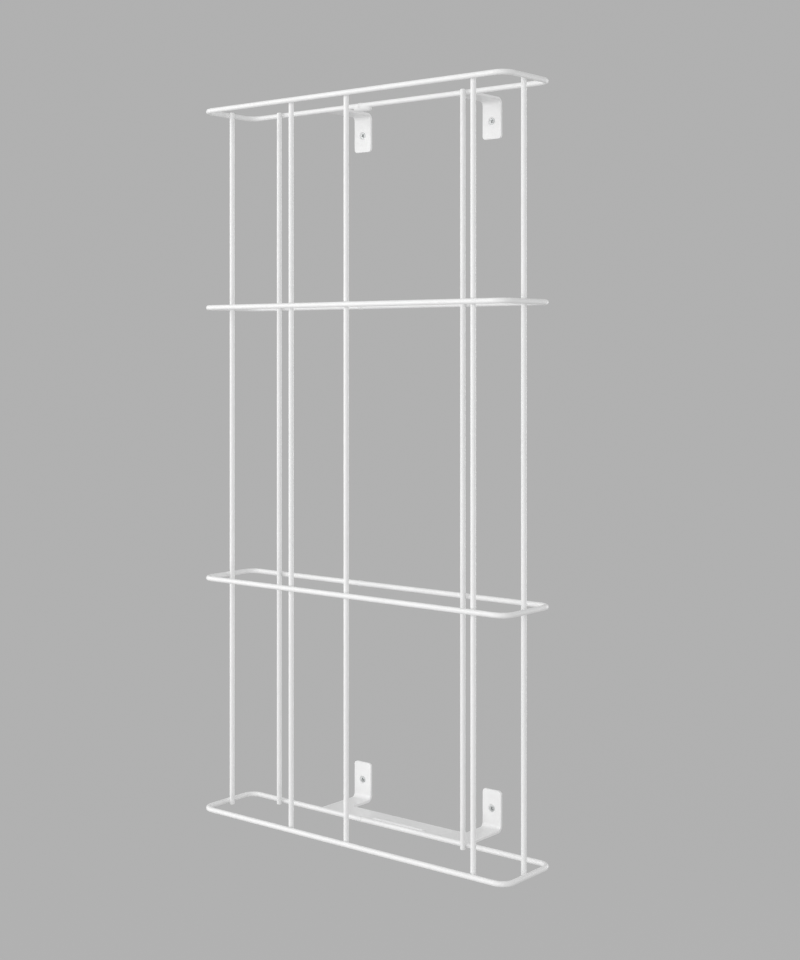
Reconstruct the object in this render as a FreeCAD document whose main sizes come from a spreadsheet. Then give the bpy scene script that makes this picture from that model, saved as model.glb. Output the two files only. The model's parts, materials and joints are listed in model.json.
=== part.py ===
# Wire wall bookshelf: four bent hoops, seven straight posts and three folded wall brackets.
#
# X runs along the shelf, Y runs into the wall and Z is up. The wall is the plane Y = 0, and the
# origin is the centre of the four screw holes on it. Sizes are in millimetres.

import FreeCAD, Part
import math
import os
import Sketcher

DRIVING_SIZES = (
    # Round wire and the hoops bent from it, measured over the outside.
    ("wire_diameter", 6.0),
    ("hoop_width", 450.0),
    ("hoop_depth", 90.0),
    ("hoop_inner_radius", 11.0),
    # Heights of the three bays, from wire centre to wire centre.
    ("bottom_bay", 277.0),
    ("middle_bay", 325.0),
    ("top_bay", 236.0),
    # Posts, from the nearest end of the hoops to the post's axis.
    ("front_left_inset", 141.0),
    ("front_right_inset", 48.5),
    ("rear_left_inset", 54.0),
    ("rear_right_inset", 116.0),
    ("post_foot", 1.0),
    ("post_end_radius", 1.2),
    # Folded plate brackets, and the gap that they hold between the hoops and the wall.
    ("wall_gap", 64.5),
    ("plate_thickness", 3.0),
    ("bend_inner_radius", 5.0),
    ("strip_width", 28.0),
    ("strip_corner_radius", 3.0),
    ("tab_spacing", 195.0),
    ("tab_width", 26.0),
    ("tab_height", 47.0),
    ("tab_corner_radius", 4.0),
    ("plate_edge_radius", 0.5),
    # Countersunk screw holes, measured from the plane of the nearest hoop.
    ("hole_height", 24.0),
    ("hole_diameter", 5.5),
    ("countersink_diameter", 9.6),
)
COUNTERSINK_ANGLE = 90.0

# Places that follow from the driving sizes.
WIRE_RADIUS = "sizes.wire_diameter / 2"
HALF_WIDTH = "(sizes.hoop_width - sizes.wire_diameter) / 2"
HALF_DEPTH = "(sizes.hoop_depth - sizes.wire_diameter) / 2"
HOOP_MIDDLE_Y = "-(sizes.wall_gap + sizes.hoop_depth / 2)"
FRONT_POST_Y = "-(sizes.wall_gap + sizes.hoop_depth - 1.5 * sizes.wire_diameter)"
REAR_POST_Y = "-(sizes.wall_gap + 1.5 * sizes.wire_diameter)"
END_POST_X = "sizes.hoop_width / 2 - 1.5 * sizes.wire_diameter"
STACK = "(sizes.bottom_bay + sizes.middle_bay + sizes.top_bay)"
BOTTOM_LEVEL = f"-{STACK} / 2"
LOWER_LEVEL = f"{BOTTOM_LEVEL} + sizes.bottom_bay"
UPPER_LEVEL = f"{LOWER_LEVEL} + sizes.middle_bay"
TOP_LEVEL = f"{STACK} / 2"
POST_LENGTH = f"{STACK} + sizes.wire_diameter + sizes.post_foot"
POST_START = f"{BOTTOM_LEVEL} - {WIRE_RADIUS} - sizes.post_foot"
HALF_PLATE = "sizes.plate_thickness / 2"
TAB_TOP = f"sizes.tab_height - {HALF_PLATE}"
# The lower plate lies at the middle of its wire. The upper plates lie higher on theirs, as far up
# as the flat of their front edge still touches it.
TOP_PLATE_LIFT = f"({HALF_PLATE} - sizes.plate_edge_radius)"

HOOPS = (
    ("hoop_bottom", BOTTOM_LEVEL),
    ("hoop_lower", LOWER_LEVEL),
    ("hoop_upper", UPPER_LEVEL),
    ("hoop_top", TOP_LEVEL),
)
POSTS = (
    ("end_post_left", f"-({END_POST_X})", HOOP_MIDDLE_Y),
    ("end_post_right", END_POST_X, HOOP_MIDDLE_Y),
    ("front_post_left", "sizes.front_left_inset - sizes.hoop_width / 2", FRONT_POST_Y),
    ("front_post_middle", "0", FRONT_POST_Y),
    ("front_post_right", "sizes.hoop_width / 2 - sizes.front_right_inset", FRONT_POST_Y),
    ("rear_post_left", "sizes.rear_left_inset - sizes.hoop_width / 2", REAR_POST_Y),
    ("rear_post_right", "sizes.hoop_width / 2 - sizes.rear_right_inset", REAR_POST_Y),
)

ORIGIN = (-1, 1)
START, END, CENTRE = range(1, 4)

doc = FreeCAD.newDocument("wire_bookshelf")
sheet = doc.addObject("Spreadsheet::Sheet", "sizes")
for row, (alias, value) in enumerate(DRIVING_SIZES, start=1):
    sheet.set(f"A{row}", alias)
    sheet.set(f"B{row}", str(value))
    sheet.setAlias(f"B{row}", alias)
doc.recompute()
size = {alias: float(sheet.get(alias)) for alias, value in DRIVING_SIZES}


def new_body(label):
    body = doc.addObject("PartDesign::Body", label)
    body.Label = label
    return body


def place(body, x="0", y="0", z="0"):
    body.setExpression("Placement.Base.x", x)
    body.setExpression("Placement.Base.y", y)
    body.setExpression("Placement.Base.z", z)


def origin_plane(body, role):
    return next(item for item in body.Origin.OriginFeatures if item.Role == role)


def new_sketch(body, name, role, offset=None):
    sketch = body.newObject("Sketcher::SketchObject", f"{body.Name}_{name}")
    sketch.AttachmentSupport = [(origin_plane(body, role), "")]
    sketch.MapMode = "FlatFace"
    if offset:
        sketch.setExpression("AttachmentOffset.Base.z", offset)
    return sketch


def point(x, y):
    return FreeCAD.Vector(x, y, 0)


def bind(sketch, kind, *where, value, to):
    """Adds a dimension to a sketch, drawn at its size and held by an expression."""
    index = sketch.addConstraint(Sketcher.Constraint(kind, *where, value))
    sketch.setExpression(f"Constraints[{index}]", to)


def join(sketch, kind, *pairs):
    """Ties the ends of neighbouring lines and arcs, each given as geometry and end."""
    for first, second in pairs:
        sketch.addConstraint(Sketcher.Constraint(kind, *first, *second))


def edges_where(feature, wanted):
    """Names of the edges of a feature whose shape passes the test."""
    return [f"Edge{i}" for i, edge in enumerate(feature.Shape.Edges, start=1) if wanted(edge)]


def round_edges(body, base, wanted, radius, name):
    doc.recompute()
    fillet = body.newObject("PartDesign::Fillet", f"{body.Name}_{name}")
    fillet.Base = (base, edges_where(base, wanted))
    fillet.setExpression("Radius", radius)
    return fillet


def make_hoop(label, level):
    """A closed rounded rectangle of round wire, bent in the flat."""
    body = new_body(label)
    half_width = (size["hoop_width"] - size["wire_diameter"]) / 2
    half_depth = (size["hoop_depth"] - size["wire_diameter"]) / 2
    bend = size["hoop_inner_radius"] + size["wire_diameter"] / 2

    path = new_sketch(body, "path", "XY_Plane")
    flat_x = half_width - bend
    flat_y = half_depth - bend
    sides = [
        (point(-flat_x, -half_depth), point(flat_x, -half_depth)),
        (point(half_width, -flat_y), point(half_width, flat_y)),
        (point(flat_x, half_depth), point(-flat_x, half_depth)),
        (point(-half_width, flat_y), point(-half_width, -flat_y)),
    ]
    corners = [(flat_x, -flat_y), (flat_x, flat_y), (-flat_x, flat_y), (-flat_x, -flat_y)]
    lines = []
    arcs = []
    for turn, (side, corner) in enumerate(zip(sides, corners)):
        lines.append(path.addGeometry(Part.LineSegment(*side)))
        start_angle = math.radians(90 * (turn - 1))
        circle = Part.Circle(point(*corner), FreeCAD.Vector(0, 0, 1), bend)
        arcs.append(path.addGeometry(Part.ArcOfCircle(circle, start_angle, start_angle + math.pi / 2)))
    for i in range(4):
        path.addConstraint(Sketcher.Constraint("Tangent", lines[i], END, arcs[i], START))
        path.addConstraint(Sketcher.Constraint("Tangent", arcs[i], END, lines[(i + 1) % 4], START))
    for i in range(3):
        path.addConstraint(Sketcher.Constraint("Equal", arcs[i], arcs[i + 1]))
    for i in (0, 2):
        path.addConstraint(Sketcher.Constraint("Horizontal", lines[i]))
        path.addConstraint(Sketcher.Constraint("Vertical", lines[i + 1]))
    bind(path, "Radius", arcs[0], value=bend, to=f"sizes.hoop_inner_radius + {WIRE_RADIUS}")
    bind(path, "DistanceY", lines[0], START, *ORIGIN, value=half_depth, to=HALF_DEPTH)
    bind(path, "DistanceX", *ORIGIN, lines[1], START, value=half_width, to=HALF_WIDTH)
    bind(path, "DistanceY", *ORIGIN, lines[2], START, value=half_depth, to=HALF_DEPTH)
    bind(path, "DistanceX", lines[3], START, *ORIGIN, value=half_width, to=HALF_WIDTH)

    section = new_sketch(body, "section", "YZ_Plane")
    circle = Part.Circle(point(-half_depth, 0), FreeCAD.Vector(0, 0, 1), size["wire_diameter"] / 2)
    ring = section.addGeometry(circle)
    section.addConstraint(Sketcher.Constraint("PointOnObject", ring, CENTRE, -1))
    bind(section, "DistanceX", ring, CENTRE, *ORIGIN, value=half_depth, to=HALF_DEPTH)
    bind(section, "Diameter", ring, value=size["wire_diameter"], to="sizes.wire_diameter")

    wire = body.newObject("PartDesign::AdditivePipe", f"{label}_wire")
    wire.Profile = section
    wire.Spine = path
    place(body, y=HOOP_MIDDLE_Y, z=level)
    return body


def make_post(label, x, y):
    """A straight wire with rounded ends, which runs past every hoop on its inside."""
    body = new_body(label)
    section = new_sketch(body, "section", "XY_Plane")
    ring = section.addGeometry(Part.Circle(point(0, 0), FreeCAD.Vector(0, 0, 1), size["wire_diameter"] / 2))
    section.addConstraint(Sketcher.Constraint("Coincident", ring, CENTRE, *ORIGIN))
    bind(section, "Diameter", ring, value=size["wire_diameter"], to="sizes.wire_diameter")
    wire = body.newObject("PartDesign::Pad", f"{label}_wire")
    wire.Profile = section
    wire.setExpression("Length", POST_LENGTH)
    round_edges(body, wire, lambda edge: edge.Closed, "sizes.post_end_radius", "ends")
    place(body, x, y, POST_START)
    return body


def draw_leg(body, offset=None):
    """Side view of a plate that runs back from the rear wire and folds up along the wall."""
    thick = size["plate_thickness"]
    bend = size["bend_inner_radius"]
    fold = bend + thick
    front = -size["wall_gap"]
    top = size["tab_height"] - thick / 2

    sketch = new_sketch(body, "side_view", "YZ_Plane", offset)
    bend_centre = point(-fold, fold - thick / 2)
    axis = FreeCAD.Vector(0, 0, 1)
    underside = sketch.addGeometry(Part.LineSegment(point(front, -thick / 2), point(-fold, -thick / 2)))
    outer = sketch.addGeometry(Part.ArcOfCircle(Part.Circle(bend_centre, axis, fold), -math.pi / 2, 0))
    back = sketch.addGeometry(Part.LineSegment(point(0, fold - thick / 2), point(0, top)))
    rim = sketch.addGeometry(Part.LineSegment(point(0, top), point(-thick, top)))
    face = sketch.addGeometry(Part.LineSegment(point(-thick, top), point(-thick, fold - thick / 2)))
    inner = sketch.addGeometry(Part.ArcOfCircle(Part.Circle(bend_centre, axis, bend), -math.pi / 2, 0))
    upper = sketch.addGeometry(Part.LineSegment(point(-fold, thick / 2), point(front, thick / 2)))
    nose = sketch.addGeometry(Part.LineSegment(point(front, thick / 2), point(front, -thick / 2)))

    join(sketch, "Tangent",
         ((underside, END), (outer, START)), ((outer, END), (back, START)),
         ((face, END), (inner, END)), ((inner, START), (upper, START)))
    join(sketch, "Coincident",
         ((back, END), (rim, START)), ((rim, END), (face, START)), ((upper, END), (nose, START)),
         ((nose, END), (underside, START)), ((outer, CENTRE), (inner, CENTRE)))
    for line in (underside, rim, upper):
        sketch.addConstraint(Sketcher.Constraint("Horizontal", line))
    for line in (back, face, nose):
        sketch.addConstraint(Sketcher.Constraint("Vertical", line))
    sketch.addConstraint(Sketcher.Constraint("PointOnObject", back, END, -2))
    bind(sketch, "Radius", inner, value=bend, to="sizes.bend_inner_radius")
    bind(sketch, "DistanceX", rim, END, rim, START, value=thick, to="sizes.plate_thickness")
    bind(sketch, "DistanceX", underside, START, *ORIGIN, value=-front, to="sizes.wall_gap")
    bind(sketch, "DistanceY", underside, START, *ORIGIN, value=thick / 2, to=HALF_PLATE)
    bind(sketch, "DistanceY", *ORIGIN, back, END, value=top, to=TAB_TOP)

    leg = body.newObject("PartDesign::Pad", f"{body.Name}_leg")
    leg.Profile = sketch
    leg.SideType = "Symmetric"
    leg.setExpression("Length", "sizes.tab_width")
    return leg


def along(edge, direction):
    return edge.Curve.TypeId == "Part::GeomLine" and abs(edge.Curve.Direction.dot(direction)) > 0.999


def tab_corner(edge):
    """The two outer corners of a tab, seen square to the wall."""
    top = size["tab_height"] - size["plate_thickness"] / 2
    at_top = math.isclose(edge.CenterOfMass.z, top, abs_tol=0.01)
    return at_top and along(edge, FreeCAD.Vector(0, 1, 0))


def strip_corner(edge):
    """The inner corners of the plan, where the strip turns into a leg."""
    back = size["strip_width"] - size["wall_gap"]
    at_back = math.isclose(edge.CenterOfMass.y, back, abs_tol=0.01)
    between_legs = abs(edge.CenterOfMass.x) < size["tab_spacing"] / 2
    return at_back and between_legs and along(edge, FreeCAD.Vector(0, 0, 1))


def sharp_edges(feature):
    """A test for the edges where two faces of the plate meet square."""
    shape = feature.Shape

    def wanted(edge):
        middle = edge.valueAt((edge.FirstParameter + edge.LastParameter) / 2)
        normals = []
        for face in shape.ancestorsOfType(edge, Part.Face):
            normals.append(face.normalAt(*face.Surface.parameter(middle)))
        return len(normals) == 2 and abs(normals[0].dot(normals[1])) < 0.5
    return wanted


def drill(body, level, level_rule, *offsets):
    """Countersunk screw holes through the tabs, sunk from the front."""
    sketch = new_sketch(body, "holes", "XZ_Plane", "sizes.plate_thickness")
    for side, offset in offsets:
        centre = point(side * size["tab_spacing"] / 2, level)
        ring = sketch.addGeometry(Part.Circle(centre, FreeCAD.Vector(0, 0, 1), size["hole_diameter"] / 2))
        bind(sketch, "Diameter", ring, value=size["hole_diameter"], to="sizes.hole_diameter")
        bind(sketch, "DistanceY", *ORIGIN, ring, CENTRE, value=level, to=level_rule)
        if side:
            bind(sketch, "DistanceX", *ORIGIN, ring, CENTRE, value=centre.x, to=offset)
        else:
            sketch.addConstraint(Sketcher.Constraint("PointOnObject", ring, CENTRE, -2))
    doc.recompute()
    hole = body.newObject("PartDesign::Hole", f"{body.Name}_screw_holes")
    hole.Profile = sketch
    hole.ThreadType = "None"
    hole.DepthType = "ThroughAll"
    hole.HoleCutType = "Countersink"
    hole.HoleCutCustomValues = True
    hole.setExpression("Diameter", "sizes.hole_diameter")
    hole.setExpression("HoleCutDiameter", "sizes.countersink_diameter")
    hole.HoleCutCountersinkAngle = COUNTERSINK_ANGLE
    return hole


def soften_plate(body, base):
    """Rounds the tabs' corners and takes the sharpness off every other edge."""
    corners = round_edges(body, base, tab_corner, "sizes.tab_corner_radius", "tab_corners")
    doc.recompute()
    round_edges(body, corners, sharp_edges(corners), "sizes.plate_edge_radius", "soft_edges")


def make_top_bracket(label, x):
    """A single leg, hung with its tab folded down."""
    body = new_body(label)
    leg = draw_leg(body)
    soften_plate(body, leg)
    lift = size["plate_thickness"] / 2 - size["plate_edge_radius"]
    drill(body, size["hole_height"] + lift, f"sizes.hole_height + {TOP_PLATE_LIFT}", (0, None))
    body.Placement = FreeCAD.Placement(FreeCAD.Vector(), FreeCAD.Rotation(FreeCAD.Vector(0, 1, 0), 180))
    place(body, x, "0", f"{TOP_LEVEL} + {TOP_PLATE_LIFT}")
    return body


def make_bottom_bracket(label):
    """Two legs and the strip between them, cut from one plate, with the tabs folded up."""
    body = new_body(label)
    leg = draw_leg(body, "sizes.tab_spacing / 2")
    pair = body.newObject("PartDesign::Mirrored", f"{label}_legs")
    pair.Originals = [leg]
    pair.MirrorPlane = (origin_plane(body, "YZ_Plane"), [""])
    body.Tip = pair

    plan = new_sketch(body, "strip_plan", "XY_Plane")
    half = size["tab_spacing"] / 2
    front = -size["wall_gap"]
    rear = front + size["strip_width"]
    corners = [point(-half, front), point(half, front), point(half, rear), point(-half, rear)]
    lines = [plan.addGeometry(Part.LineSegment(a, b)) for a, b in zip(corners, corners[1:] + corners[:1])]
    join(plan, "Coincident", *[((lines[i], END), (lines[(i + 1) % 4], START)) for i in range(4)])
    for i in (0, 2):
        plan.addConstraint(Sketcher.Constraint("Horizontal", lines[i]))
        plan.addConstraint(Sketcher.Constraint("Vertical", lines[i + 1]))
    bind(plan, "DistanceX", *ORIGIN, lines[1], START, value=half, to="sizes.tab_spacing / 2")
    bind(plan, "DistanceX", lines[3], START, *ORIGIN, value=half, to="sizes.tab_spacing / 2")
    bind(plan, "DistanceY", lines[0], START, *ORIGIN, value=-front, to="sizes.wall_gap")
    bind(plan, "DistanceY", lines[1], START, lines[1], END, value=rear - front, to="sizes.strip_width")
    strip = body.newObject("PartDesign::Pad", f"{label}_strip")
    strip.Profile = plan
    strip.SideType = "Symmetric"
    strip.setExpression("Length", "sizes.plate_thickness")

    inner = round_edges(body, strip, strip_corner, "sizes.strip_corner_radius", "strip_corners")
    soften_plate(body, inner)
    sides = ((-1, "-sizes.tab_spacing / 2"), (1, "sizes.tab_spacing / 2"))
    drill(body, size["hole_height"], "sizes.hole_height", *sides)
    place(body, z=BOTTOM_LEVEL)
    return body


subparts = [make_hoop(label, level) for label, level in HOOPS]
subparts += [make_post(label, x, y) for label, x, y in POSTS]
subparts.append(make_bottom_bracket("bracket_bottom"))
subparts.append(make_top_bracket("bracket_top_left", "-sizes.tab_spacing / 2"))
subparts.append(make_top_bracket("bracket_top_right", "sizes.tab_spacing / 2"))
doc.recompute()

faults = [f"{item.Label}: {item.State}" for item in doc.Objects if {"Invalid", "Error"} & set(item.State)]
for body in subparts:
    shape = body.Shape
    if shape.isNull() or not shape.isValid() or len(shape.Solids) != 1:
        faults.append(f"{body.Label}: not one sound solid")
if faults:
    raise RuntimeError("; ".join(faults))

os.makedirs("parts", exist_ok=True)
for body in subparts:
    body.Shape.exportStep(f"parts/{body.Label}.step")
    print(f"{body.Label}: {body.Shape.Volume:.0f} mm3")
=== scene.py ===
# %% [markdown]
# # A hanging shelf of welded round bar
# The real object is a shallow cage of 6 mm steel bar. Four bent hoops carry the load, seven straight
# posts tie them together, and the cage hangs by three folded plates at its back. It is welded first
# and powder coated last, so a single white skin runs over bar, plate and weld alike.
#
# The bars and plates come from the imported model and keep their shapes. This lesson gives them their
# finish, and adds what the welder and the fitter leave behind: the welds and the screws.

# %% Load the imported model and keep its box
import json
import math
import random

import bmesh
import bpy
from mathutils import Matrix, Vector


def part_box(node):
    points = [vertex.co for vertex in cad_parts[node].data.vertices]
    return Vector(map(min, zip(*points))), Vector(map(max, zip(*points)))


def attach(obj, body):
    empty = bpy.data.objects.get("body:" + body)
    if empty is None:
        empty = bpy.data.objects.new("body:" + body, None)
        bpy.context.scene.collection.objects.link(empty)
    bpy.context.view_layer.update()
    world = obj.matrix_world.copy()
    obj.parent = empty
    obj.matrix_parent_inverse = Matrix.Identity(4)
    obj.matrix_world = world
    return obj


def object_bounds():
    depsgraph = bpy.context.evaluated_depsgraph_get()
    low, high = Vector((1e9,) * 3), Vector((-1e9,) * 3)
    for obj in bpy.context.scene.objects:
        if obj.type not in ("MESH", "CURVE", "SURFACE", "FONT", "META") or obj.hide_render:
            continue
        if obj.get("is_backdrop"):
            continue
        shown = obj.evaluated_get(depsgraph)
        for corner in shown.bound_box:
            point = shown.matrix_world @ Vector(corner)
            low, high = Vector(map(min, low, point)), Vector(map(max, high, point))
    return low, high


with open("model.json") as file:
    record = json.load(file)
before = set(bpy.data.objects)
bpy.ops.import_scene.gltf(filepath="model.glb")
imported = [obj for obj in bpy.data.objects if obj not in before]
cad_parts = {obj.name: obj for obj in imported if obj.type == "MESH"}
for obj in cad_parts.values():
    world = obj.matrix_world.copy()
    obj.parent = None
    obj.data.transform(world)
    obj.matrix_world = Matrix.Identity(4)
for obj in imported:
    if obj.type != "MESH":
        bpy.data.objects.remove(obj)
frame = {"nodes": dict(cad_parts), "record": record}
cad_low, cad_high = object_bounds()
MM = 0.001
print("bars and plates:", len(frame["nodes"]))
print("box in mm:", [round(v / MM, 1) for v in (*cad_low, *cad_high)])

# %% [markdown]
# ## Helpers for the finishes
# Paint charts give colours as sRGB hex values, while a shader works in linear light, so one function
# turns the first into the second. Another adds a node, sets it up and links it, which keeps each
# material below down to a few readable lines. A third starts a material, and gives back the Object
# coordinates that its patterns read.

# %% Colour and node helpers
# A colour mix has its sockets numbered: the factor, the two colours, and the mixed output.
MIX_BY, MIX_FROM, MIX_TO, MIXED = 0, 6, 7, 2


def linear(hex_code):
    """The linear colour of an sRGB hex value, as a shader needs it."""
    channels = [int(hex_code[i:i + 2], 16) / 255 for i in (0, 2, 4)]
    return [c / 12.92 if c <= 0.04045 else ((c + 0.055) / 1.055) ** 2.4 for c in channels] + [1.0]


def add_node(tree, kind, settings, inputs):
    """Adds one node: settings are its own options, inputs are values or the sockets that feed it."""
    node = tree.nodes.new(kind)
    for option, value in settings.items():
        setattr(node, option, value)
    for socket, value in inputs.items():
        if isinstance(value, bpy.types.NodeSocket):
            tree.links.new(value, node.inputs[socket])
        else:
            node.inputs[socket].default_value = value
    return node


def start_material(name):
    """A new material, its node tree, its shader and its Object coordinates."""
    material = bpy.data.materials.new(name)
    material.use_nodes = True
    tree = material.node_tree
    place = add_node(tree, "ShaderNodeTexCoord", {}, {}).outputs["Object"]
    return material, tree, tree.nodes["Principled BSDF"], place


print("white in linear light:", [round(c, 3) for c in linear("F6F6F6")])

# %% [markdown]
# ## White powder coat
# Powder coat is a dry polyester powder, drawn to the steel by static charge and baked until it flows.
# The eye sees a clean satin white with a faint waviness, called orange peel, because the melt never
# levels quite flat. Thicker and thinner patches also differ a little in gloss and in tone.
#
# The waves are about 2.5 mm long and only hundredths of a millimetre high, so they go into the bump
# and not into the mesh. They are drawn some five times as high, because at their true height soft light
# would not show them. Three noises on Object coordinates do the work, one for each real size.

# %% Powder coat material
PEEL_WAVE = 2.5 * MM
PEEL_HEIGHT = 0.2 * MM
GLOSS_PATCH = 12 * MM
TONE_PATCH = 40 * MM
RESIN_IOR = 1.5
COAT_ROUGHNESS = {"To Min": 0.34, "To Max": 0.46}
# A noise seldom leaves these bounds, so they are stretched over the whole range of roughness.
NOISE_BOUNDS = {"From Min": 0.3, "From Max": 0.7}

powder_coat, tree, shader, place = start_material("white_satin_powder_coat")
tone = add_node(tree, "ShaderNodeTexNoise", {}, {"Vector": place, "Scale": 1 / TONE_PATCH, "Detail": 3.0})
gloss = add_node(tree, "ShaderNodeTexNoise", {}, {"Vector": place, "Scale": 1 / GLOSS_PATCH, "Detail": 2.0})
peel = add_node(tree, "ShaderNodeTexNoise", {}, {"Vector": place, "Scale": 1 / PEEL_WAVE, "Detail": 1.0})
white = add_node(tree, "ShaderNodeMix", {"data_type": "RGBA"},
                 {MIX_BY: tone.outputs["Fac"], MIX_FROM: linear("F6F6F6"), MIX_TO: linear("EFEFEF")})
satin = add_node(tree, "ShaderNodeMapRange", {},
                 {"Value": gloss.outputs["Fac"], **NOISE_BOUNDS, **COAT_ROUGHNESS})
waves = add_node(tree, "ShaderNodeBump", {},
                 {"Height": peel.outputs["Fac"], "Distance": PEEL_HEIGHT, "Strength": 1.0})
shader.inputs["IOR"].default_value = RESIN_IOR
tree.links.new(white.outputs[MIXED], shader.inputs["Base Color"])
tree.links.new(satin.outputs["Result"], shader.inputs["Roughness"])
tree.links.new(waves.outputs["Normal"], shader.inputs["Normal"])

for node in frame["nodes"].values():
    for slot in node.material_slots:
        slot.material = powder_coat
print("coated nodes:", len(frame["nodes"]))

# %% [markdown]
# ## Zinc-plated steel
# The screws are not part of the coated cage. They are plain steel with a bright electroplated layer of
# zinc, a cool light grey metal whose fine crystals blur its reflections unevenly. The crystals
# themselves are too fine to show, so they are drawn as patches about 1 mm across.

# %% Zinc material
ZINC_PATCH = 1.0 * MM
ZINC_ROUGHNESS = {"To Min": 0.48, "To Max": 0.62}

zinc, tree, shader, place = start_material("zinc_plated_steel")
crystals = add_node(tree, "ShaderNodeTexNoise", {},
                    {"Vector": place, "Scale": 1 / ZINC_PATCH, "Detail": 3.0})
silver = add_node(tree, "ShaderNodeMix", {"data_type": "RGBA"},
                  {MIX_BY: crystals.outputs["Fac"], MIX_FROM: linear("D2D4D4"), MIX_TO: linear("C3C5C5")})
blur = add_node(tree, "ShaderNodeMapRange", {},
                {"Value": crystals.outputs["Fac"], **NOISE_BOUNDS, **ZINC_ROUGHNESS})
shader.inputs["Metallic"].default_value = 1.0
tree.links.new(silver.outputs[MIXED], shader.inputs["Base Color"])
tree.links.new(blur.outputs["Result"], shader.inputs["Roughness"])
print("materials:", powder_coat.name, zinc.name)

# %% [markdown]
# ## The camera
# The camera stands in front of the shelf and to its right, level with its upper half, and looks left.
# It was found from the bars' lines in the photograph, so the bars fall where they do there. The
# picture was cropped above and below by unequal amounts, which a small downward shift repeats.

# %% Camera
WIDTH, HEIGHT = 800, 960
FOCAL_PIXELS = 1587.4
HORIZON_ROW = 351.1
CAMERA_PLACE = (1.1668, -1.4857, 0.1308)
LEVEL = math.radians(90)
TURN_LEFT = math.radians(39.103)

lens = bpy.data.cameras.new("camera")
lens.sensor_width = 36.0
lens.lens = FOCAL_PIXELS / max(WIDTH, HEIGHT) * lens.sensor_width
lens.shift_y = (HORIZON_ROW - HEIGHT / 2) / max(WIDTH, HEIGHT)
camera = bpy.data.objects.new("camera", lens)
camera.location = CAMERA_PLACE
camera.rotation_euler = (LEVEL, 0, TURN_LEFT)
bpy.context.scene.collection.objects.link(camera)
bpy.context.scene.camera = camera
print("lens in mm:", round(lens.lens, 2), "shift:", round(lens.shift_y, 4))

# %% [markdown]
# ## Putting a finished piece in place
# Every piece is modelled about its own centre and then carried to its place by one matrix, so its
# object stays at the origin and a pattern on Object coordinates runs on from the bar beside it.

# %% A function that finishes a piece
SHARP_ANGLE = math.radians(40)


def finish_piece(name, mesh, matrix, material):
    """Carries the shape to its place, shades it smooth between sharp edges, and lets it ride."""
    bmesh.ops.transform(mesh, matrix=matrix, verts=mesh.verts)
    bmesh.ops.recalc_face_normals(mesh, faces=mesh.faces)
    for face in mesh.faces:
        face.smooth = True
    for edge in mesh.edges:
        edge.smooth = edge.calc_face_angle(0) < SHARP_ANGLE
    data = bpy.data.meshes.new(name)
    mesh.to_mesh(data)
    mesh.free()
    data.materials.append(material)
    piece = bpy.data.objects.new(name, data)
    bpy.context.scene.collection.objects.link(piece)
    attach(piece, "root")


# %% [markdown]
# ## The welds where posts cross hoops
# Each post stands inside the hoops and is resistance welded where it touches them: the two bars are
# squeezed together while a current melts the point of contact. What is left is a small hollow-sided
# neck between two round bars.
#
# A torus would be too thick and a cylinder too plain. Here one vertex is spun into a half circle, the
# half circle is spun into a spool, and the spool's rims are then laid onto the two bars.

# %% A spool-shaped weld neck
BAR_RADIUS = 3.0 * MM
NECK_RIM = 2.75 * MM
NECK_WAIST = 2.0 * MM
NECK_SINK = 0.15 * MM
NECK_STEPS = 6
NECK_SIDES = 24


def bar_drop(distance):
    """How far a round bar's surface falls away at this distance from its crown."""
    return BAR_RADIUS - math.sqrt(max(BAR_RADIUS ** 2 - distance ** 2, 0.0))


def weld_neck(size):
    """A neck whose lower rim lies on a bar along X and whose upper rim lies on a bar along Y."""
    rim = NECK_RIM * size
    hollow = (NECK_RIM - NECK_WAIST) * size
    mesh = bmesh.new()
    # The half circle reaches from -1 to 1 in height, and its depth is then drawn in to the hollow's.
    start = mesh.verts.new((rim, 0, -1))
    bmesh.ops.spin(mesh, geom=[start], cent=(rim, 0, 0), axis=(0, 1, 0), angle=math.pi, steps=NECK_STEPS)
    for vert in mesh.verts:
        vert.co.x = rim - hollow * math.sqrt(max(1 - vert.co.z ** 2, 0))
    bmesh.ops.spin(mesh, geom=mesh.verts[:] + mesh.edges[:], cent=(0, 0, 0), axis=(0, 0, 1),
                   angle=math.tau, steps=NECK_SIDES, use_merge=True)
    bmesh.ops.holes_fill(mesh, edges=mesh.edges[:], sides=0)
    # Each point's height then becomes its share of the way from the lower bar to the upper one.
    for vert in mesh.verts:
        share = (vert.co.z + 1) / 2
        rise = share * (bar_drop(vert.co.x) + NECK_SINK)
        vert.co.z = rise - (1 - share) * (bar_drop(vert.co.y) + NECK_SINK)
    return mesh


trial = weld_neck(1.0)
print("faces in one neck:", len(trial.faces), "open edges:", sum(e.is_boundary for e in trial.edges))
trial.free()

# %% [markdown]
# The posts' and hoops' boxes say where they touch. An end post leans on a short side of the hoop, a
# front or rear post on a long one. The necks differ a little in size, as hand-set welds do, from one
# seeded list so that each run gives the same shelf.

# %% Find a bar's middle, and set axes at a point
def axes_at(point, along, across, out):
    """A matrix whose X, Y and Z axes are the three directions, with its origin at the point."""
    turn = Matrix((along, across, out)).transposed().to_4x4()
    return Matrix.Translation(point) @ turn


def centre_of(node):
    """The middle of a bar's box."""
    low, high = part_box(node)
    return (low + high) / 2


hoop_middle = centre_of("hoop_bottom")
print("middle of the lowest hoop in mm:", [round(v / MM, 1) for v in hoop_middle])

# %% Weld every post to every hoop
HOOPS = ["hoop_bottom", "hoop_lower", "hoop_upper", "hoop_top"]
POSTS = ["end_post_left", "end_post_right", "front_post_left", "front_post_middle", "front_post_right",
         "rear_post_left", "rear_post_right"]
SMALLEST_NECK, LARGEST_NECK = 0.94, 1.0
UP = Vector((0, 0, 1))
welder = random.Random(7)

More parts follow.
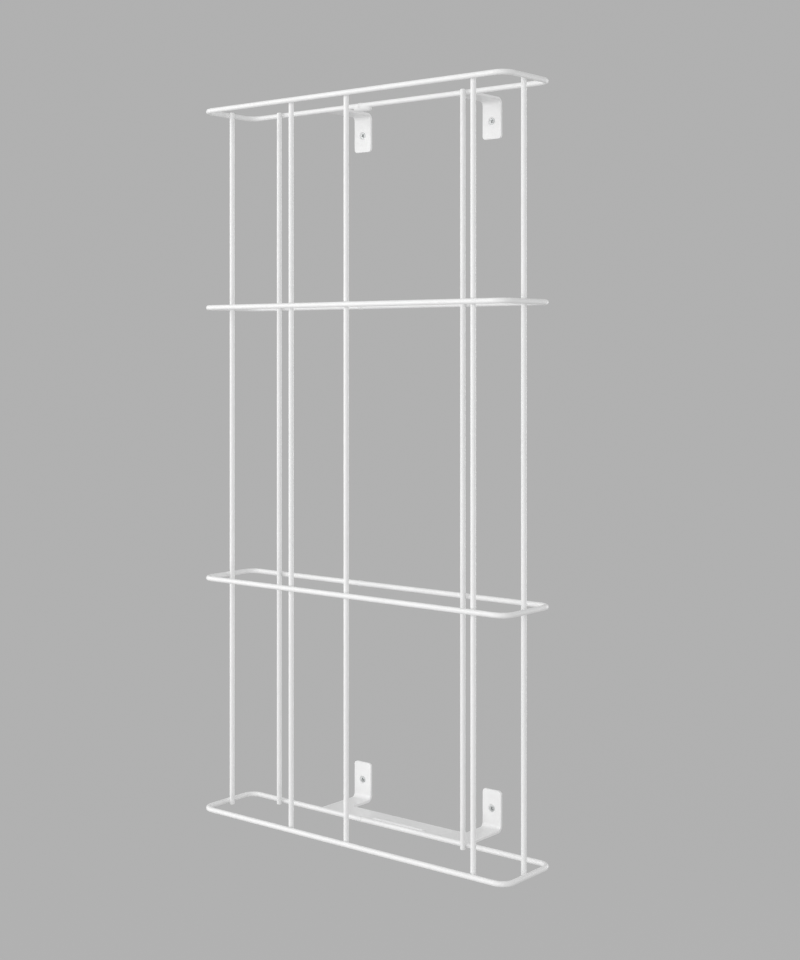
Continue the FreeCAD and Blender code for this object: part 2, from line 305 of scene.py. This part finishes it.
for post in POSTS:
    stand = centre_of(post)
    if post.startswith("end"):
        towards_bar = Vector((math.copysign(1, stand.x - hoop_middle.x), 0, 0))
        bar_way = Vector((0, 1, 0))
    else:
        towards_bar = Vector((0, math.copysign(1, stand.y - hoop_middle.y), 0))
        bar_way = Vector((1, 0, 0))
    for hoop in HOOPS:
        touch = stand + towards_bar * BAR_RADIUS
        touch.z = centre_of(hoop).z
        neck = weld_neck(welder.uniform(SMALLEST_NECK, LARGEST_NECK))
        seat = axes_at(touch, bar_way, UP, -towards_bar)
        finish_piece(f"weld_{hoop}_{post}", neck, seat, powder_coat)
print("crossing welds:", len(POSTS) * len(HOOPS))

# %% [markdown]
# ## The welds that join plate to bar
# The three plates butt against the rear bars of the lowest and the highest hoop, and the welder ran a
# bead along each seam. The coat has softened the bead's ripples but not hidden them.
#
# A bead is one ring, extruded ripple by ripple. Each ring is scaled as it is made, small at both ends
# and slightly fuller at each ripple, so the bead starts and stops as a run of weld does.

# %% A rippled bead
RIPPLE = 2.4 * MM
FEWEST_RINGS = 8
BEAD_SIDES = 14
# A bead starts at this share of its full girth, and reaches that after this many widths.
END_FULLNESS = 0.3
END_WIDTHS = 0.8
# Between two ripples it keeps this share of it.
DIP_FULLNESS = 0.94
LONG_BEAD = (77 * MM, 4.2 * MM, 3.4 * MM)


def weld_bead(length, width, height):
    """A bead along X, about its own centre, with ripples and rounded ends."""
    rings = max(FEWEST_RINGS, 2 * round(length / RIPPLE))
    mesh = bmesh.new()
    start = bmesh.ops.create_circle(mesh, cap_ends=True, segments=BEAD_SIDES, radius=1.0)["verts"]
    tip = mesh.faces[:][0]
    last_way, last_fullness = 0.0, 1.0
    for ring in range(1, rings + 1):
        way = ring / rings
        from_end = min(way, 1 - way) * length / (END_WIDTHS * width)
        fullness = END_FULLNESS + (1 - END_FULLNESS) * math.sqrt(1 - (1 - min(from_end, 1)) ** 2)
        fullness *= 1.0 if ring % 2 else DIP_FULLNESS
        growth = fullness / last_fullness
        made = bmesh.ops.extrude_face_region(mesh, geom=[tip])["geom"]
        tip = next(part for part in made if isinstance(part, bmesh.types.BMFace))
        bmesh.ops.translate(mesh, verts=tip.verts, vec=(0, 0, length * (way - last_way)))
        bmesh.ops.scale(mesh, verts=tip.verts, vec=(growth, growth, 1))
        last_way, last_fullness = way, fullness
    bmesh.ops.scale(mesh, verts=start, vec=(END_FULLNESS, END_FULLNESS, 1))
    bmesh.ops.translate(mesh, verts=mesh.verts, vec=(0, 0, -length / 2))
    bmesh.ops.rotate(mesh, verts=mesh.verts, cent=(0, 0, 0), matrix=Matrix.Rotation(math.pi / 2, 3, "Y"))
    bmesh.ops.scale(mesh, verts=mesh.verts, vec=(1, width / 2, height / 2))
    return mesh


trial = weld_bead(*LONG_BEAD)
print("faces in the long bead:", len(trial.faces), "open edges:", sum(e.is_boundary for e in trial.edges))
trial.free()

# %% [markdown]
# The long bead lies on the lower plate a few millimetres behind the bar, where the photograph shows a
# light ridge with a thin groove before it. Each upper plate has one bead across its nose. The camera
# is too low to see those two, so they are a guess from how such plates are held.

# %% Beads along the plates
PLATE = 3.0 * MM
LONG_BEAD_X = 6.5 * MM
LONG_BEAD_SETBACK = 3.8 * MM
NOSE_BEAD = (20 * MM, 5.0 * MM, 3.0 * MM)
NOSE_BEAD_SETBACK = 1.0 * MM


def lay_bead(name, place, size, tilt=0):
    """Lays a bead of a given length, width and height along X, centred on the place and tipped about X."""
    seat = Matrix.Translation(place) @ Matrix.Rotation(math.radians(tilt), 4, "X")
    finish_piece(name, weld_bead(*size), seat, powder_coat)


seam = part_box("bracket_bottom")[0]
ridge = (LONG_BEAD_X, seam.y + LONG_BEAD_SETBACK, seam.z + PLATE)
lay_bead("bead_bottom", ridge, LONG_BEAD)
for plate in ("bracket_top_left", "bracket_top_right"):
    low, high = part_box(plate)
    nose = ((low.x + high.x) / 2, low.y + NOSE_BEAD_SETBACK, high.z)
    lay_bead(plate.replace("bracket", "bead"), nose, NOSE_BEAD)
print("lower bead at x, y, z in mm:", [round(v / MM, 2) for v in ridge])

# %% [markdown]
# ## The joints that close the hoops
# A hoop is bent from one straight bar, so somewhere its two ends meet and are butt welded, which
# leaves a low ring of metal round the bar. On the highest hoop the photograph shows one on the rear
# bar, left of the middle. The longer pale band under it is taken to be a second bead. The other joints
# are out of sight, and are put at the same place because the four hoops would come from one jig.

# %% Close the hoops
JOINT_X = -45 * MM
JOINT_BEAD = (13 * MM, 7.2 * MM, 7.2 * MM)
UNDER_BEAD = (26 * MM, 8.8 * MM, 4.4 * MM)
UNDER_SHIFT = Vector((2.0 * MM, 1.0 * MM, -3.6 * MM))
UNDER_TILT = -38


def joint_place(hoop):
    """The point in the middle of a hoop's rear bar where its two ends meet."""
    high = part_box(hoop)[1]
    return Vector((JOINT_X, high.y - BAR_RADIUS, high.z - BAR_RADIUS))


for hoop in HOOPS:
    lay_bead(f"joint_{hoop}", joint_place(hoop), JOINT_BEAD)
lay_bead("joint_hoop_top_under", joint_place("hoop_top") + UNDER_SHIFT, UNDER_BEAD, UNDER_TILT)
print("top joint at x, y, z in mm:", [round(v / MM, 1) for v in joint_place("hoop_top")])

# %% [markdown]
# ## The screws
# Four countersunk wood screws hold the plates. A real head is cold-headed from wire: a flat disc with
# a cross pressed into it, over a cone that fits the countersink. The head is a little smaller than
# its hole, so it sits just under the face and a thin ring of shade shows round it.
#
# The cross comes first, from a grid of nine faces without its corners, drawn in to narrow wings. It
# is pressed in, bridged to a round rim, and the rim is extruded down the cone and the shank. Only a
# stub of the shank is made, which ends just short of the plates' back face.

# %% The cross pressed into the head
CROSS_REACH = 2.3 * MM
CROSS_DEPTH = 1.4 * MM
CROSS_TAPER = 0.55
WING_HALF = 0.55 * MM


def pressed_cross(mesh):
    """Makes a cross-shaped recess in the mesh, open at height 0, and gives back the edges of its mouth."""
    bmesh.ops.create_grid(mesh, x_segments=3, y_segments=3, size=CROSS_REACH)
    for vert in mesh.verts:
        for i in (0, 1):
            if abs(vert.co[i]) < CROSS_REACH / 2:
                vert.co[i] = math.copysign(WING_HALF, vert.co[i])
    middles = {face: face.calc_center_median() for face in mesh.faces}
    corners = [face for face, at in middles.items() if min(abs(at.x), abs(at.y)) > WING_HALF]
    bmesh.ops.delete(mesh, geom=corners, context="FACES")
    lid = mesh.faces[:]
    mouth = [edge for edge in mesh.edges if edge.is_boundary]
    pressed = bmesh.ops.extrude_face_region(mesh, geom=lid)["geom"]
    bottom = [part for part in pressed if isinstance(part, bmesh.types.BMVert)]
    bmesh.ops.delete(mesh, geom=lid, context="FACES")
    bmesh.ops.translate(mesh, verts=bottom, vec=(0, 0, -CROSS_DEPTH))
    bmesh.ops.scale(mesh, verts=bottom, vec=(CROSS_TAPER, CROSS_TAPER, 1))
    return mouth


trial = bmesh.new()
print("edges round the cross:", len(pressed_cross(trial)))
trial.free()

# %% A countersunk screw
HEAD_RADIUS = 3.95 * MM
HEAD_DOME = 0.3 * MM
HEAD_EDGE = 0.1 * MM
HEAD_SIDES = 24
SHANK_RADIUS = 2.5 * MM
SHANK_STUB = 0.5 * MM


def extrude_rim(mesh, rim, scale, drop):
    """Extrudes a ring of edges, scales and lowers the new ring, and gives it back."""
    made = bmesh.ops.extrude_edge_only(mesh, edges=rim)["geom"]
    verts = [part for part in made if isinstance(part, bmesh.types.BMVert)]
    bmesh.ops.scale(mesh, verts=verts, vec=(scale, scale, 1))
    bmesh.ops.translate(mesh, verts=verts, vec=(0, 0, -drop))
    return [edge for edge in made if isinstance(edge, bmesh.types.BMEdge) and set(edge.verts) <= set(verts)]


def countersunk_screw():
    """A screw along Z, head up, with the rim of its head at height 0."""
    mesh = bmesh.new()
    mouth = pressed_cross(mesh)
    bmesh.ops.translate(mesh, verts=mesh.verts, vec=(0, 0, HEAD_DOME))
    ring = bmesh.ops.create_circle(mesh, cap_ends=False, segments=HEAD_SIDES, radius=HEAD_RADIUS)["verts"]
    rim = [edge for edge in mesh.edges if set(edge.verts) <= set(ring)]
    bmesh.ops.bridge_loops(mesh, edges=mouth + rim)
    rim = extrude_rim(mesh, rim, 1.0, HEAD_EDGE)
    rim = extrude_rim(mesh, rim, SHANK_RADIUS / HEAD_RADIUS, HEAD_RADIUS - SHANK_RADIUS)
    rim = extrude_rim(mesh, rim, 1.0, SHANK_STUB)
    bmesh.ops.holes_fill(mesh, edges=rim, sides=0)
    return mesh


trial = countersunk_screw()
print("faces in one screw:", len(trial.faces), "open edges:", sum(e.is_boundary for e in trial.edges))
trial.free()

# %% [markdown]
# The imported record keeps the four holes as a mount, so the screws take their places from there. Each
# one is turned by its own angle, because no fitter stops all four crosses alike.

# %% Drive the screws
HEAD_DEPTH = 0.8 * MM
QUARTER_TURN = math.pi / 2
plate_face = cad_high.y - PLATE
holes = next(mount["dims"] for mount in frame["record"]["mounts"] if mount["name"] == "wall_holes")
reach_x = holes["spacing_x_mm"] / 2 * MM
reach_z = holes["spacing_y_mm"] / 2 * MM
fitter = random.Random(3)

for row, height in (("bottom", -reach_z), ("top", reach_z)):
    for side, x in (("left", -reach_x), ("right", reach_x)):
        screw = countersunk_screw()
        turn = Matrix.Rotation(fitter.uniform(0, QUARTER_TURN), 4, "Z")
        head = Vector((x, plate_face + HEAD_DEPTH, height))
        seat = axes_at(head, Vector((1, 0, 0)), UP, Vector((0, -1, 0))) @ turn
        finish_piece(f"screw_{row}_{side}", screw, seat, zinc)
print("screws at x, z in mm:", reach_x / MM, reach_z / MM)

# %% [markdown]
# ## Floor and light
# The light is bright, broad and soft, and strongest from the front left, so that the round bars are
# near white on their left and light grey on their right. Two weaker lights behind the shelf stand in
# for what a pale surface there would throw back onto its far sides.
#
# A pale round cove serves as floor and backdrop, made by spinning one bent line. It is matt paper that
# glows evenly, as a backdrop lit from behind does. Its own colour is dark, so that the lights leave no
# edges on it from any side.

# %% A cove made by one spin
FLOOR_Z = -1.5
FLAT_RADIUS = 4.0
COVE_RADIUS = 1.5
COVE_RISE = 3.5
BEND_STEPS = 12
COVE_SIDES = 64

cove = bmesh.new()
centre = cove.verts.new((0, 0, FLOOR_Z))
reached = bmesh.ops.extrude_vert_indiv(cove, verts=[centre])["verts"]
bmesh.ops.translate(cove, verts=reached, vec=(FLAT_RADIUS, 0, 0))
bend = bmesh.ops.spin(cove, geom=reached, cent=(FLAT_RADIUS, 0, FLOOR_Z + COVE_RADIUS), axis=(0, -1, 0),
                      angle=math.pi / 2, steps=BEND_STEPS)["geom_last"]
bend_end = [part for part in bend if isinstance(part, bmesh.types.BMVert)]
raised = bmesh.ops.extrude_vert_indiv(cove, verts=bend_end)["verts"]
bmesh.ops.translate(cove, verts=raised, vec=(0, 0, COVE_RISE))
bmesh.ops.spin(cove, geom=cove.verts[:] + cove.edges[:], cent=(0, 0, 0), axis=(0, 0, 1), angle=math.tau,
               steps=COVE_SIDES, use_merge=True)
for face in cove.faces:
    face.smooth = True
cove_data = bpy.data.meshes.new("cove")
cove.to_mesh(cove_data)
cove.free()
print("cove from", FLOOR_Z, "m, radius", FLAT_RADIUS + COVE_RADIUS, "m, faces:", len(cove_data.polygons))

# %% Glowing paper on the cove
PAPER_GLOW = 0.425
PATCHES_PER_METRE = 0.6

paper, tree, shader, place = start_material("backlit_matt_paper")
pulp = add_node(tree, "ShaderNodeTexNoise", {},
                {"Vector": place, "Scale": PATCHES_PER_METRE, "Detail": 2.0})
grey = add_node(tree, "ShaderNodeMix", {"data_type": "RGBA"},
                {MIX_BY: pulp.outputs["Fac"], MIX_FROM: linear("2C2C2C"), MIX_TO: linear("282828")})
shader.inputs["Specular IOR Level"].default_value = 0.0
shader.inputs["Emission Color"].default_value = linear("FFFFFF")
shader.inputs["Emission Strength"].default_value = PAPER_GLOW
tree.links.new(grey.outputs[MIXED], shader.inputs["Base Color"])
cove_data.materials.append(paper)
floor = bpy.data.objects.new("floor", cove_data)
bpy.context.scene.collection.objects.link(floor)
floor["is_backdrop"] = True
print("stage:", floor.name)

# %% Soft lights
WORLD_GLOW = 0.5
middle = (cad_low + cad_high) / 2


def soft_light(name, place, size, watts):
    """A square soft light that faces the shelf and is not itself seen."""
    lamp = bpy.data.lights.new(name, "AREA")
    lamp.size = size
    lamp.energy = watts
    light = bpy.data.objects.new(name, lamp)
    light.location = place
    light.rotation_euler = (middle - Vector(place)).to_track_quat("-Z", "Y").to_euler()
    light.visible_camera = False
    bpy.context.scene.collection.objects.link(light)


soft_light("window", (-2.4, -2.0, 0.5), 3.0, 56)
soft_light("room", (1.4, -3.0, 0.2), 3.0, 44)
soft_light("ceiling", (0.0, 0.4, 2.6), 2.4, 7)
soft_light("side", (2.6, 1.2, 0.2), 2.2, 4)
soft_light("rear", (0.7, 2.9, 0.0), 2.0, 26)
world = bpy.data.worlds.new("room_light")
world.use_nodes = True
background = world.node_tree.nodes["Background"]
background.inputs["Color"].default_value = linear("F6F6F6")
background.inputs["Strength"].default_value = WORLD_GLOW
bpy.context.scene.world = world
# With the plain transform, the hex colours above come out as they were written.
bpy.context.scene.view_settings.view_transform = "Standard"

# %% [markdown]
# ## The box with the welds
# The welds may stand only slightly proud of the solids, so the box with them is printed as well as the
# solids' box printed at the start.

# %% Print the box with the welds
low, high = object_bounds()
print("visual box in mm:", [round(v / MM, 1) for v in (*low, *high)])
